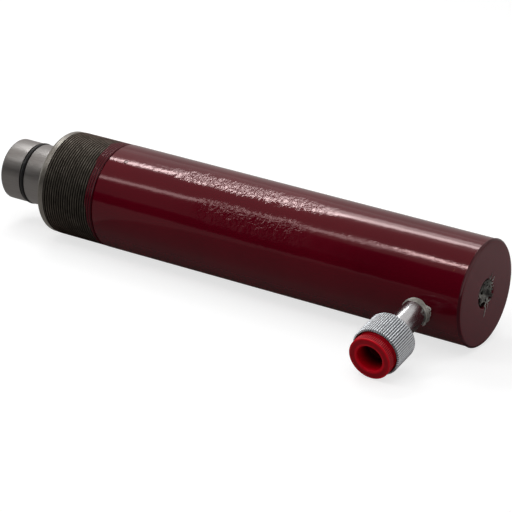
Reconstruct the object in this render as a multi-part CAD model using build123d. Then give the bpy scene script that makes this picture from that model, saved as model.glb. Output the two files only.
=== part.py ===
from build123d import *
import math
import os

# Hydraulic ram, lying on its side, plunger pulled in. Millimetres.
# The origin is the centre of the base face, on the ram's axis. +X points out of the base,
# the plunger comes out along -X, +Z is up, and the coupler hangs towards -Y.
# A station is a distance along a piece's own axis: from the base face on the ram,
# and from the ram's axis on the coupler.

# Body tube, closed at the base
BODY_R = 28.0
BASE_CHAMFER = 1.2
BORE_R = 21.5
CHAMBER_FLOOR = 34.0
BARREL_END = 251.3
THREAD_START = 218.4
THREAD_RUNOUT = 0.7
THREAD_ROOT_R = 27.0
THREAD_R = 27.9
THREAD_CHAMFER = 0.8
BASE_HOLE_R = 7.3
BASE_HOLE_DEPTH = 10.0
TIE_HOLE_R = 6.6

# Gland nut in the mouth of the barrel
GLAND_R = 24.0
GLAND_START = 226.0
GLAND_END = 255.3
GLAND_HEAD_R = 27.7
GLAND_ROUND = 1.5
GLAND_MOUTH_R = 17.3
BUSH_R = 18.5
BUSH_END = 244.0
WIPER_GROOVE_R = 19.8
WIPER_GROOVE = (246.5, 251.5)
WIPER_LIP_LENGTH = 1.2
WIPER_LIP_WALL = 0.3
WIPER_INSET = 0.8
WIPER_SLACK = 0.1
WIPER_HEEL = 0.5
SPANNER_HOLE_R = 2.0
SPANNER_HOLE_DEPTH = 3.5
SPANNER_HOLE_PCD_R = 22.3
SPANNER_HOLES = 4

# Plunger and its piston head
PLUNGER_R = 16.5
RUNNING_CLEARANCE = 0.05
PLUNGER_START = 50.0
PLUNGER_END = 288.9
PLUNGER_CHAMFER = 1.3
PLUNGER_BORE_R = 12.5
PLUNGER_BORE_END = 274.0
DRILL_POINT = 4.0
RING_STATION = 274.2
RING_GROOVE_WIDTH = 3.1
RING_GROOVE_R = 14.8
RING_WIRE_R = 1.15
CENTRE_DRILL_R = 2.5
CENTRE_DRILL_DEPTH = 2.2
STROKE = 150.0
STOP_GAP = 0.3
HEAD_START = 36.0
HEAD_END = GLAND_START - STROKE - STOP_GAP
HEAD_CHAMFER = 1.0
HEAD_HOLE_R = 6.2
CUP_GROOVE = (40.0, 49.0)
CUP_GROOVE_R = 17.6
CUP_LENGTH = 6.8
CUP_LIP_WALL = 0.6
CUP_LIP_CHAMFER = 0.8
BACKUP_LENGTH = 2.0
GUIDE_GROOVE = (62.0, 70.0)
GUIDE_GROOVE_R = 19.6
SEAL_CLEARANCE = 0.03
GUIDE_GAP = 1.5

# Return spring on its tie rod, inside the hollow plunger
PLUG_START = 10.6
PLUG_END = 20.5
PLUG_R = 6.4
SOCKET_FLATS = 8.0
SOCKET_DEPTH = 5.0
TIE_ROD_R = 5.0
TIE_ROD_END = 266.0
TIE_ROD_CHAMFER = 1.0
WASHER_START = 254.0
WASHER_LENGTH = 3.0
WASHER_R = 11.3
NUT_LENGTH = 8.0
NUT_FLATS = 17.0
NUT_CHAMFER = 0.9
HEXAGON = 6
SPRING_MEAN_R = 10.7
SPRING_WIRE_R = 1.25
SPRING_TURNS = 21
SPRING_RUNS_PER_TURN = 10
SPRING_GAP = 0.3

# Port and coupler
PORT_STATION = 23.8
COUPLER_DROOP = 13.5
PORT_R = 6.85
PORT_FLOOR = 12.5
OIL_WAY_R = 2.5
NIPPLE_R = 6.6
NIPPLE_START = 13.7
NIPPLE_CHAMFER = 0.8
TAPE_START = 17.0
TAPE_END = 29.6
TAPE_BEAD_START = 26.0
TAPE_BEAD_R = 7.5
TAPE_BEAD_CHAMFER = 0.8
PASSAGE_R = 2.0
VALVE_CHAMBER = (44.0, 55.0)
VALVE_CHAMBER_R = 4.6
SEAT_END = 58.5
SEAT_BORE_R = 3.6
SOCKET_R = 6.2
FLANGE_R = 9.8
FLANGE = (53.9, 57.7)
NOSE_R = 8.8
NOSE_CHAMFER = 0.4
NOSE_END = 60.5
BALL_R = 4.0
BALL_STATION = 53.2
CHECK_SPRING_R = 3.1
CHECK_WIRE_R = 0.35
CHECK_SPRING = (44.05, 50.35)
CHECK_TURNS = 5
SOCKET_RING_WIRE_R = 0.9
CIRCLIP_STATION = 52.2
CIRCLIP_WIRE_R = 0.55
CIRCLIP_R = 6.85
CIRCLIP_GAP = 50.0

# Knurled collar that turns on the coupler body
COLLAR_START = 50.6
COLLAR_END = 67.1
COLLAR_R = 12.8
COLLAR_BACK_CHAMFER = 0.6
COLLAR_CHAMFER = 0.7
COLLAR_BORE_R = 7.0
COLLAR_BACK = 53.6
COLLAR_THREAD_R = 11.4
COLLAR_MOUTH_R = 12.0
COLLAR_MOUTH_DEPTH = 0.7
CLIP_GROOVE_R = 7.7
CLIP_GROOVE = (51.3, 53.1)
KNURLS = 64
KNURL_DEPTH = 0.45
KNURL = (51.2, 66.4)

# Plastic dust plug screwed into the collar
PLUG_STEM_START = 61.0
PLUG_STEM_R = 11.05
PLUG_NECK = (66.6, 68.5)
PLUG_NECK_R = 10.6
PLUG_FACE = 72.7
PLUG_FLANGE_R = 11.2
PLUG_RIBS = 72
PLUG_RIB_DEPTH = 0.22
PLUG_RIBS_END = 72.3
PLUG_FACE_CHAMFER = 0.35
PLUG_LEAD_IN = 0.8
PLUG_NECK_SLOPE = 0.4
PLUG_MOUTH_R = 7.1
PLUG_MOUTH_FLARE = 0.3
PLUG_MOUTH_DEPTH = 0.5
PLUG_FLOOR_R = 6.7
PLUG_FLOOR_CHAMFER = 0.5
PLUG_FLOOR = 62.4

# Turned pieces are drawn about local Z and then laid on one of these two axes.
DROOP = math.radians(COUPLER_DROOP)
RAM_AXIS = Plane(origin=(0, 0, 0), x_dir=(0, 0, 1), z_dir=(-1, 0, 0))
COUPLER_AXIS = Plane(
    origin=(-PORT_STATION, 0, 0), x_dir=(1, 0, 0), z_dir=(0, -math.cos(DROOP), -math.sin(DROOP))
)
OVER = 1.0

# Ribs reach this far into the piece that carries them.
RIB_BED = 0.1

# Small rings and springs are drawn with a flat-sided wire, which keeps the model light.
RING_SIDES = 8
SPRING_SIDES = 6


def turned(outline, rounds=None):
    """Revolve a closed outline of (station, radius) points about local Z.

    rounds gives the fillet of a corner, by the corner's own (station, radius).
    """
    points = [(radius, 0, station) for station, radius in outline]
    face = make_face(Polyline(*points, close=True))
    for (station, radius), fillet_r in (rounds or {}).items():
        corner = face.vertices().sort_by_distance((radius, 0, station))[0]
        face = fillet(corner, fillet_r)
    return revolve(face, Axis.Z)


def rod(radius, start, end):
    """A plain round bar between two stations on local Z."""
    return Pos(0, 0, start) * extrude(Circle(radius), amount=end - start)


def ring(inner, outer, start, end):
    """A plain ring between two stations on local Z."""
    return turned([(start, inner), (start, outer), (end, outer), (end, inner)])


def ribbed_bar(crest_r, depth, count, start, end):
    """A bar with V-shaped ribs along it: a star with one crest and one root per rib."""
    points = []
    for k in range(count):
        crest = 2 * math.pi * k / count
        root = crest + math.pi / count
        points.append((crest_r * math.cos(crest), crest_r * math.sin(crest)))
        points.append(((crest_r - depth) * math.cos(root), (crest_r - depth) * math.sin(root)))
    star = make_face(Polyline(*points, close=True))
    return Pos(0, 0, start) * extrude(star, amount=end - start)


def wire_ring(mean_r, wire_r, station, arc=360):
    """A ring of wire round local Z, closed or open."""
    section = RegularPolygon(wire_r, RING_SIDES, major_radius=False, rotation=180 / RING_SIDES)
    return revolve(Plane.XZ * Pos(mean_r, station) * section, Axis.Z, revolution_arc=arc)


def coil(mean_r, wire_r, start, end, turns):
    """A compression spring with closed end coils, its turns made of short runs.

    The end coils lie a wire's width apart, and the coils between them share the rest evenly.
    """
    low = start + wire_r
    rise = end - start - 2 * wire_r
    closed = 2 * wire_r
    open_pitch = (rise - 2 * closed) / (turns - 2)
    sections = []
    for k in range(turns * SPRING_RUNS_PER_TURN + 1):
        turn = k / SPRING_RUNS_PER_TURN
        if turn < 1:
            height = closed * turn
        elif turn < turns - 1:
            height = closed + open_pitch * (turn - 1)
        else:
            height = rise - closed * (turns - turn)
        angle = 2 * math.pi * turn
        centre = (mean_r * math.cos(angle), mean_r * math.sin(angle), low + height)
        across = Plane(
            origin=centre,
            x_dir=(math.cos(angle), math.sin(angle), 0),
            z_dir=(-math.sin(angle), math.cos(angle), 0),
        )
        sections.append(across * RegularPolygon(wire_r, SPRING_SIDES))
    return loft(sections, ruled=True)


def barrel():
    """Body tube bored from the front, with a thick base, the port and the oil way."""
    body = turned([
        (0, BASE_HOLE_R),
        (0, BODY_R - BASE_CHAMFER),
        (BASE_CHAMFER, BODY_R),
        (THREAD_START, BODY_R),
        (THREAD_START, THREAD_ROOT_R),
        (THREAD_START + THREAD_RUNOUT, THREAD_ROOT_R),
        (THREAD_START + THREAD_RUNOUT, THREAD_R),
        (BARREL_END - THREAD_CHAMFER, THREAD_R),
        (BARREL_END, THREAD_R - THREAD_CHAMFER),
        (BARREL_END, GLAND_R),
        (GLAND_START, GLAND_R),
        (GLAND_START, BORE_R),
        (CHAMBER_FLOOR, BORE_R),
        (CHAMBER_FLOOR, TIE_HOLE_R),
        (BASE_HOLE_DEPTH, TIE_HOLE_R),
        (BASE_HOLE_DEPTH, BASE_HOLE_R),
    ])
    port = rod(PORT_R, PORT_FLOOR, BODY_R + OVER)
    oil_way = rod(OIL_WAY_R, 0, PORT_FLOOR + OVER)
    return RAM_AXIS.location * body - COUPLER_AXIS.location * (port + oil_way)


def gland_nut():
    """Screwed ring that closes the barrel's mouth and carries the bush and the wiper."""
    outline = [
        (GLAND_START, BUSH_R),
        (GLAND_START, GLAND_R),
        (BARREL_END, GLAND_R),
        (BARREL_END, GLAND_HEAD_R),
        (GLAND_END, GLAND_HEAD_R),
        (GLAND_END, GLAND_MOUTH_R),
        (WIPER_GROOVE[1], GLAND_MOUTH_R),
        (WIPER_GROOVE[1], WIPER_GROOVE_R),
        (WIPER_GROOVE[0], WIPER_GROOVE_R),
        (WIPER_GROOVE[0], GLAND_MOUTH_R),
        (BUSH_END, GLAND_MOUTH_R),
        (BUSH_END, BUSH_R),
    ]
    body = turned(outline, {(GLAND_END, GLAND_HEAD_R): GLAND_ROUND})
    hole = rod(SPANNER_HOLE_R, GLAND_END - SPANNER_HOLE_DEPTH, GLAND_END + OVER)
    holes = PolarLocations(SPANNER_HOLE_PCD_R, SPANNER_HOLES) * hole
    return RAM_AXIS.location * (body - holes)


def gland_bush():
    """Bronze bearing that the plunger slides through."""
    return RAM_AXIS.location * ring(PLUNGER_R + RUNNING_CLEARANCE, BUSH_R, GLAND_START, BUSH_END)


def rod_wiper():
    """Snap-in wiper whose lip leans out along the plunger."""
    lip_r = PLUNGER_R + RUNNING_CLEARANCE
    lip_end = GLAND_END - WIPER_INSET
    body = turned([
        (WIPER_GROOVE[0], lip_r + WIPER_HEEL),
        (WIPER_GROOVE[0], WIPER_GROOVE_R),
        (WIPER_GROOVE[1], WIPER_GROOVE_R),
        (WIPER_GROOVE[1], GLAND_MOUTH_R - WIPER_SLACK),
        (lip_end, lip_r + WIPER_LIP_WALL),
        (lip_end, lip_r),
        (lip_end - WIPER_LIP_LENGTH, lip_r),
    ])
    return RAM_AXIS.location * body


def plunger():
    """Hollow chromed plunger with a ring groove and a chamfer at its working end."""
    half = RING_GROOVE_WIDTH / 2
    body = turned([
        (PLUNGER_START, PLUNGER_BORE_R),
        (PLUNGER_START, PLUNGER_R),
        (RING_STATION - half, PLUNGER_R),
        (RING_STATION - half, RING_GROOVE_R),
        (RING_STATION + half, RING_GROOVE_R),
        (RING_STATION + half, PLUNGER_R),
        (PLUNGER_END - PLUNGER_CHAMFER, PLUNGER_R),
        (PLUNGER_END, PLUNGER_R - PLUNGER_CHAMFER),
        (PLUNGER_END, CENTRE_DRILL_R),
        (PLUNGER_END - CENTRE_DRILL_DEPTH, 0),
        (PLUNGER_BORE_END, 0),
        (PLUNGER_BORE_END - DRILL_POINT, PLUNGER_BORE_R),
    ])
    return RAM_AXIS.location * body


def plunger_ring():
    """Rubber ring that grips whatever is pushed on to the plunger's end."""
    return RAM_AXIS.location * wire_ring(RING_GROOVE_R + RING_WIRE_R, RING_WIRE_R, RING_STATION)


def piston_head():
    """Piston screwed on to the inner end of the plunger, grooved for its seal and guide ring."""
    outer_r = BORE_R - RUNNING_CLEARANCE
    body = turned([
        (HEAD_START, HEAD_HOLE_R),
        (HEAD_START, outer_r - HEAD_CHAMFER),
        (HEAD_START + HEAD_CHAMFER, outer_r),
        (CUP_GROOVE[0], outer_r),
        (CUP_GROOVE[0], CUP_GROOVE_R),
        (CUP_GROOVE[1], CUP_GROOVE_R),
        (CUP_GROOVE[1], outer_r),
        (GUIDE_GROOVE[0], outer_r),
        (GUIDE_GROOVE[0], GUIDE_GROOVE_R),
        (GUIDE_GROOVE[1], GUIDE_GROOVE_R),
        (GUIDE_GROOVE[1], outer_r),
        (HEAD_END - HEAD_CHAMFER, outer_r),
        (HEAD_END, outer_r - HEAD_CHAMFER),
        (HEAD_END, PLUNGER_R),
        (PLUNGER_START, PLUNGER_R),
        (PLUNGER_START, HEAD_HOLE_R),
    ])
    return RAM_AXIS.location * body


def piston_cup_seal():
    """U-shaped seal whose two lips open towards the oil."""
    start = CUP_GROOVE[1] - BACKUP_LENGTH - CUP_LENGTH
    end = CUP_GROOVE[1] - BACKUP_LENGTH
    outer_r = BORE_R - SEAL_CLEARANCE
    middle_r = (CUP_GROOVE_R + outer_r) / 2
    body = turned([
        (end, CUP_GROOVE_R),
        (end, outer_r),
        (start + CUP_LIP_CHAMFER, outer_r),
        (start, outer_r - CUP_LIP_WALL),
        (start + CUP_LENGTH / 2, middle_r),
        (start, CUP_GROOVE_R + CUP_LIP_WALL),
        (start + CUP_LIP_CHAMFER, CUP_GROOVE_R),
    ])
    return RAM_AXIS.location * body


def piston_backup_ring():
    """Hard ring that stops the cup seal being squeezed into the clearance."""
    start = CUP_GROOVE[1] - BACKUP_LENGTH
    return RAM_AXIS.location * ring(CUP_GROOVE_R, BORE_R - SEAL_CLEARANCE, start, CUP_GROOVE[1])


def piston_guide_ring():
    """Split wear ring that keeps the piston off the bore."""
    body = ring(GUIDE_GROOVE_R, BORE_R - SEAL_CLEARANCE, *GUIDE_GROOVE)
    length = GUIDE_GROOVE[1] - GUIDE_GROOVE[0]
    gap = Pos(BORE_R, 0, GUIDE_GROOVE[0] + length / 2) * Box(BORE_R, GUIDE_GAP, 2 * length)
    return RAM_AXIS.location * (body - gap)


def spring_tie_rod():
    """Tie rod with a plug end sealed in the base, turned by a hexagon socket."""
    body = turned([
        (PLUG_START, 0),
        (PLUG_START, PLUG_R),
        (PLUG_END, PLUG_R),
        (PLUG_END, TIE_ROD_R),
        (TIE_ROD_END - TIE_ROD_CHAMFER, TIE_ROD_R),
        (TIE_ROD_END, TIE_ROD_R - TIE_ROD_CHAMFER),
        (TIE_ROD_END, 0),
    ])
    hexagon = RegularPolygon(SOCKET_FLATS / 2, HEXAGON, major_radius=False)
    socket = Pos(0, 0, PLUG_START - OVER) * extrude(hexagon, amount=SOCKET_DEPTH + OVER)
    return RAM_AXIS.location * (body - socket)


def tie_rod_seal_tape():
    """Sealing tape wound on the plug end's thread."""
    return RAM_AXIS.location * ring(PLUG_R, TIE_HOLE_R, PLUG_START, PLUG_END)


def spring_washer():
    """Plate that the return spring pushes against."""
    return RAM_AXIS.location * ring(TIE_ROD_R, WASHER_R, WASHER_START, WASHER_START + WASHER_LENGTH)


def tie_rod_nut():
    """Hexagon nut that holds the spring's plate on the tie rod."""
    start = WASHER_START + WASHER_LENGTH
    end = start + NUT_LENGTH
    hexagon = RegularPolygon(NUT_FLATS / 2, HEXAGON, major_radius=False) - Circle(TIE_ROD_R)
    block = Pos(0, 0, start) * extrude(hexagon, amount=NUT_LENGTH)
    corner_r = NUT_FLATS / math.sqrt(3)
    crown = turned([
        (start, 0),
        (start, corner_r - NUT_CHAMFER),
        (start + NUT_CHAMFER, corner_r),
        (end - NUT_CHAMFER, corner_r),
        (end, corner_r - NUT_CHAMFER),
        (end, 0),
    ])
    return RAM_AXIS.location * (block & crown)


def return_spring():
    """Compression spring between the piston head and the plate on the tie rod."""
    start = PLUNGER_START + SPRING_GAP
    end = WASHER_START - SPRING_GAP
    spring = coil(SPRING_MEAN_R, SPRING_WIRE_R, start, end, SPRING_TURNS)
    return RAM_AXIS.location * spring


def coupler_body():
    """Threaded nipple and valve housing in one piece, bored through for the oil."""
    body = turned([
        (NIPPLE_START, PASSAGE_R),
        (NIPPLE_START, NIPPLE_R - NIPPLE_CHAMFER),
        (NIPPLE_START + NIPPLE_CHAMFER, NIPPLE_R),
        (CIRCLIP_STATION - CIRCLIP_WIRE_R, NIPPLE_R),
        (CIRCLIP_STATION - CIRCLIP_WIRE_R, CIRCLIP_R - CIRCLIP_WIRE_R),
        (CIRCLIP_STATION + CIRCLIP_WIRE_R, CIRCLIP_R - CIRCLIP_WIRE_R),
        (CIRCLIP_STATION + CIRCLIP_WIRE_R, NIPPLE_R),
        (FLANGE[0], NIPPLE_R),
        (FLANGE[0], FLANGE_R),
        (FLANGE[1], FLANGE_R),
        (FLANGE[1], NOSE_R),
        (NOSE_END - NOSE_CHAMFER, NOSE_R),
        (NOSE_END, NOSE_R - NOSE_CHAMFER),
        (NOSE_END, SOCKET_R),
        (VALVE_CHAMBER[1], SOCKET_R),
        (VALVE_CHAMBER[1], VALVE_CHAMBER_R),
        (VALVE_CHAMBER[0], VALVE_CHAMBER_R),
        (VALVE_CHAMBER[0], PASSAGE_R),
    ])
    return COUPLER_AXIS.location * body


def port_seal_tape():
    """Sealing tape on the nipple's thread, bunched into a bead where it meets the barrel."""
    tape = turned([
        (TAPE_START, NIPPLE_R),
        (TAPE_START, PORT_R),
        (TAPE_BEAD_START, PORT_R),
        (TAPE_BEAD_START, TAPE_BEAD_R),
        (TAPE_END - TAPE_BEAD_CHAMFER, TAPE_BEAD_R),
        (TAPE_END, TAPE_BEAD_R - TAPE_BEAD_CHAMFER),
        (TAPE_END, NIPPLE_R),
    ])
    wall = RAM_AXIS.location * rod(BODY_R, 0, BODY_R + PORT_STATION)
    port = COUPLER_AXIS.location * rod(PORT_R, 0, BODY_R + OVER)
    return COUPLER_AXIS.location * tape - (wall - port)


def valve_seat():
    """Screwed insert whose bore edge is the ball's seat."""
    return COUPLER_AXIS.location * ring(SEAT_BORE_R, SOCKET_R, VALVE_CHAMBER[1], SEAT_END)


def socket_o_ring():
    """Rubber ring that seals on the hose half's tip."""
    station = SEAT_END + SOCKET_RING_WIRE_R
    wire = wire_ring(SOCKET_R - SOCKET_RING_WIRE_R, SOCKET_RING_WIRE_R, station)
    return COUPLER_AXIS.location * wire


def check_ball():
    """Steel ball that closes the coupler when the hose is off."""
    return COUPLER_AXIS.location * Pos(0, 0, BALL_STATION) * Sphere(BALL_R)


def check_spring():
    """Light spring that pushes the ball on to its seat."""
    spring = coil(CHECK_SPRING_R, CHECK_WIRE_R, *CHECK_SPRING, CHECK_TURNS)
    return COUPLER_AXIS.location * spring


def collar_circlip():
    """Open wire ring that lets the collar turn but not slide."""
    wire = wire_ring(CIRCLIP_R, CIRCLIP_WIRE_R, CIRCLIP_STATION, 360 - CIRCLIP_GAP)
    return COUPLER_AXIS.location * wire


def coupler_collar():
    """Collar with a straight knurl, a chamfered back and a chamfered mouth."""
    knurl = ribbed_bar(COLLAR_R, KNURL_DEPTH, KNURLS, *KNURL)
    sleeve_r = COLLAR_R - KNURL_DEPTH - RIB_BED
    sleeve = turned([
        (COLLAR_START, 0),
        (COLLAR_START, sleeve_r - COLLAR_BACK_CHAMFER),
        (COLLAR_START + COLLAR_BACK_CHAMFER, sleeve_r),
        (KNURL[1], sleeve_r),
        (COLLAR_END, COLLAR_R - COLLAR_CHAMFER),
        (COLLAR_END, 0),
    ])
    hollow = turned([
        (COLLAR_START - OVER, 0),
        (COLLAR_START - OVER, COLLAR_BORE_R),
        (CLIP_GROOVE[0], COLLAR_BORE_R),
        (CLIP_GROOVE[0], CLIP_GROOVE_R),
        (CLIP_GROOVE[1], CLIP_GROOVE_R),
        (CLIP_GROOVE[1], COLLAR_BORE_R),
        (COLLAR_BACK, COLLAR_BORE_R),
        (COLLAR_BACK, COLLAR_THREAD_R),
        (COLLAR_END - COLLAR_MOUTH_DEPTH, COLLAR_THREAD_R),
        (COLLAR_END, COLLAR_MOUTH_R),
        (COLLAR_END + OVER, COLLAR_MOUTH_R),
        (COLLAR_END + OVER, 0),
    ])
    return COUPLER_AXIS.location * (sleeve + knurl - hollow)


def dust_plug():
    """Hollow plastic plug with a ribbed rim."""
    ribs = ribbed_bar(PLUG_FLANGE_R, PLUG_RIB_DEPTH, PLUG_RIBS, PLUG_NECK[1], PLUG_RIBS_END)
    disc_r = PLUG_FLANGE_R - PLUG_RIB_DEPTH - RIB_BED
    body = turned([
        (PLUG_STEM_START, 0),
        (PLUG_STEM_START, PLUG_STEM_R - PLUG_LEAD_IN),
        (PLUG_STEM_START + PLUG_LEAD_IN, PLUG_STEM_R),
        (PLUG_NECK[0], PLUG_STEM_R),
        (PLUG_NECK[0] + PLUG_NECK_SLOPE, PLUG_NECK_R),
        (PLUG_NECK[1], PLUG_NECK_R),
        (PLUG_NECK[1], disc_r),
        (PLUG_FACE - PLUG_FACE_CHAMFER, disc_r),
        (PLUG_FACE, disc_r - PLUG_FACE_CHAMFER),
        (PLUG_FACE, 0),
    ])
    hollow = turned([
        (PLUG_FLOOR, 0),
        (PLUG_FLOOR, PLUG_FLOOR_R - PLUG_FLOOR_CHAMFER),
        (PLUG_FLOOR + PLUG_FLOOR_CHAMFER, PLUG_FLOOR_R),
        (PLUG_FACE - PLUG_MOUTH_DEPTH, PLUG_MOUTH_R),
        (PLUG_FACE, PLUG_MOUTH_R + PLUG_MOUTH_FLARE),
        (PLUG_FACE + OVER, PLUG_MOUTH_R + PLUG_MOUTH_FLARE),
        (PLUG_FACE + OVER, 0),
    ])
    return COUPLER_AXIS.location * (body + ribs - hollow)


PARTS = [
    barrel,
    gland_nut,
    gland_bush,
    rod_wiper,
    plunger,
    plunger_ring,
    piston_head,
    piston_cup_seal,
    piston_backup_ring,
    piston_guide_ring,
    spring_tie_rod,
    tie_rod_seal_tape,
    spring_washer,
    tie_rod_nut,
    return_spring,
    coupler_body,
    port_seal_tape,
    valve_seat,
    socket_o_ring,
    check_ball,
    check_spring,
    collar_circlip,
    coupler_collar,
    dust_plug,
]

os.makedirs("parts", exist_ok=True)
for make in PARTS:
    export_step(make(), f"parts/{make.__name__}.step")
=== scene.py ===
"""Hydraulic ram lying on its side: enamelled barrel, cut thread, chromed plunger, quick coupler."""

import math

import bpy
import numpy as np
from mathutils import Matrix, Vector


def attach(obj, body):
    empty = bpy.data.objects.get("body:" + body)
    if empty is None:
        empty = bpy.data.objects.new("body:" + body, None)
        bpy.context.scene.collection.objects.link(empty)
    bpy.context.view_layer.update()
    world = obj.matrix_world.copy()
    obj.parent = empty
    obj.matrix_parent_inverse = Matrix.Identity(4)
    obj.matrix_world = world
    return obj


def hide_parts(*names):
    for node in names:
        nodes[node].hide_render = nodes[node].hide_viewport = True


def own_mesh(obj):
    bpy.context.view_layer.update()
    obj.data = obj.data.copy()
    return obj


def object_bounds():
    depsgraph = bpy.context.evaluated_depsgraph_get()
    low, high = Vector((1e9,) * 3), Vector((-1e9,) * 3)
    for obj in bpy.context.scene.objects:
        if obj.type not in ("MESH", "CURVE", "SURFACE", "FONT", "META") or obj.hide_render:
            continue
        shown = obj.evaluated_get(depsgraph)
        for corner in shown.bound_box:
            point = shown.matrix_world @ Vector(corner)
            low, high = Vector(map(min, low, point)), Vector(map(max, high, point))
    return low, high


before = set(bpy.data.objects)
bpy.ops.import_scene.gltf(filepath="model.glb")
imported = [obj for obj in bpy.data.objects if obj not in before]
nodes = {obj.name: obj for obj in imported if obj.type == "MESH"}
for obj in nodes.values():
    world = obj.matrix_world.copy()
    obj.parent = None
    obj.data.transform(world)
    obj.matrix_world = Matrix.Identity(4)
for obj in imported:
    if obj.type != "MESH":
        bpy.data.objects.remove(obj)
cad_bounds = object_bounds()

MM = 0.001
TURN = 2 * math.pi

# Body tube, in millimetres. A station is a distance along the piece's own axis: from the base
# face on the ram, and from the ram's axis on the coupler.
BODY_R = 28.0
BASE_CHAMFER = 1.2
BORE_R = 21.5
CHAMBER_FLOOR = 34.0
BARREL_END = 251.3
BASE_HOLE_R = 7.3
BASE_HOLE_DEPTH = 10.0
BASE_HOLE_SINK = 0.7
TIE_HOLE_R = 6.6
GLAND_R = 24.0
GLAND_START = 226.0

# Collar thread
THREAD_START = 218.4
THREAD_RUNOUT = 0.7
THREAD_ROOT_R = 27.0
THREAD_R = 27.9
THREAD_PITCH = 1.5
THREAD_DEPTH = 0.85
THREAD_CHAMFER = 0.8
PAINT_EDGE = 223.2
PAINT_EDGE_SWING = 2.4
PAINT_EDGE_HIGH = math.radians(100)

# Plunger
PLUNGER_R = 16.5
PLUNGER_START = 50.0
PLUNGER_END = 288.9
PLUNGER_CHAMFER = 1.3
PLUNGER_BORE_R = 12.5
PLUNGER_BORE_END = 274.0
DRILL_POINT = 4.0
CENTRE_DRILL_R = 2.5
CENTRE_DRILL_DEPTH = 2.2
RING_STATION = 274.2
RING_GROOVE_WIDTH = 3.1
RING_GROOVE_R = 14.8
RING_WIRE_R = 1.05

# Return spring
SPRING_START = 50.3
SPRING_END = 253.7
SPRING_MEAN_R = 10.7
SPRING_WIRE_R = 1.25
SPRING_TURNS = 21

# Port and coupler
PORT_STATION = 23.8
COUPLER_DROOP = math.radians(13.5)
PASSAGE_R = 2.0
NIPPLE_R = 6.6
NIPPLE_START = 13.7
NIPPLE_CHAMFER = 0.8
VALVE_CHAMBER = (44.0, 55.0)
VALVE_CHAMBER_R = 4.6
SOCKET_R = 6.2
FLANGE_R = 9.8
FLANGE = (53.9, 57.7)
NOSE_R = 8.8
NOSE_END = 60.5
CIRCLIP_STATION = 52.2
CIRCLIP_WIRE_R = 0.55
CIRCLIP_SEAT_R = 6.3
CHECK_SPRING = (44.05, 50.35)
CHECK_SPRING_R = 3.1
CHECK_WIRE_R = 0.35
CHECK_TURNS = 5

# Knurled collar
COLLAR_START = 50.6
COLLAR_END = 67.1
COLLAR_R = 12.8
COLLAR_ROUND = 1.0
COLLAR_CHAMFER = 0.7
COLLAR_BORE_R = 7.0
COLLAR_BACK = 53.6
COLLAR_THREAD_R = 11.4
COLLAR_MOUTH_R = 12.0
COLLAR_MOUTH_DEPTH = 0.7
CLIP_GROOVE_R = 7.7
CLIP_GROOVE = (51.3, 53.1)
KNURLS = 64
KNURL_DEPTH = 0.45
KNURL_START = 51.4

# Dust plug
PLUG_STEM_START = 61.0
PLUG_STEM_R = 11.05
PLUG_LEAD_IN = 0.8
PLUG_NECK = (66.6, 68.5)
PLUG_NECK_R = 10.6
PLUG_FACE = 72.7
PLUG_FLANGE_R = 11.2
PLUG_RIBS = 72
PLUG_RIB_DEPTH = 0.3
PLUG_ROUND = 0.4
PLUG_MOUTH_R = 6.9
PLUG_FLOOR_R = 6.3
PLUG_FLOOR = 62.4

# Paint: orange-peel lumps, the coat's longer waves, and the height of both.
PEEL_LUMP = 2.7
COAT_WAVE = 7.0
CRINKLE_DEPTH = 0.2
PEEL_HEIGHT = 0.58
# The enamel's highlights are to look pink, so its gloss is tinted. Real clear gloss is not.
GLOSS_TINT = (1.0, 0.67, 0.67, 1.0)

# Fields of orange peel on the tube, as strength, the stations that each fades in and out over, its
# middle in degrees round the ram, and its spread.
PEEL_FIELDS = [
    (1.0, (75, 100), (165, 182), 69, 10),
    (1.0, (85, 100), (146, 160), 31, 12),
    (0.12, (-1, 0), (60, 100), 44, 5),
    (0.10, (160, 180), (BARREL_END, BARREL_END + 1), 64, 6),
]
PEEL_LEAST = 0.02

# Seeds of the sine waves and of the shreds
WEAR_SEED = 5
PEEL_SEED = 31
CRINKLE_SEED = 77
SHRED_SEED = 21

# Steps round the turned pieces, and round and along coils, strands and ribbons of tape
BARREL_STEPS = 200
PLUNGER_STEPS = 160
COUPLER_STEPS = 128
STEPS_PER_KNURL = 12
STEPS_PER_RIB = 8
COIL_SIDES = 10
COIL_STEPS = 28
STRAND_SIDES = 10
STRAND_STEPS = 180
RIBBON_ROWS = 26

# Old tape in the base hole: how many shreds, and how far they sit off the hole's middle
SHRED_COUNT = 46
SHRED_SHIFT = 1.2

# Radii that differ by less than this are the same one.
HAIR = 0.01

# Sockets of the Mix node: its share, its two numbers, its two colours, and the mixed colour
SHARE = 0
NUMBER_A = 2
NUMBER_B = 3
COLOUR_A = 6
COLOUR_B = 7
COLOUR_OUT = 2

# Small marks in the paint, as points of X, Y and Z with half sizes and a turn in degrees.
PIT_PLACE = (-208.0, -12.75, 24.93)
PIT_SIZE = (1.3, 1.1, 1.1)
SCRATCH_PLACE = (-7.6, -22.0, 17.25)
SCRATCH_SIZE = (0.35, 0.6, 1.9)
SCRATCH_TURN = (-40, 20, 0)
CHIP_PLACE = (0, -7.8, -2.5)
CHIP_SIZE = (0.5, 2.0, 0.45)
CHIP_TURN = (-22, 0, 0)

# The camera stands where the photograph was taken from, and looks at a point on the barrel.
CAMERA_PLACE = Vector((0.47559, -0.98264, 0.43580))
CAMERA_AIM = Vector((-0.09877, -0.05555, 0.01214))
CAMERA_ROLL = math.radians(2.750)
CAMERA_LENS = 168.27

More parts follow.
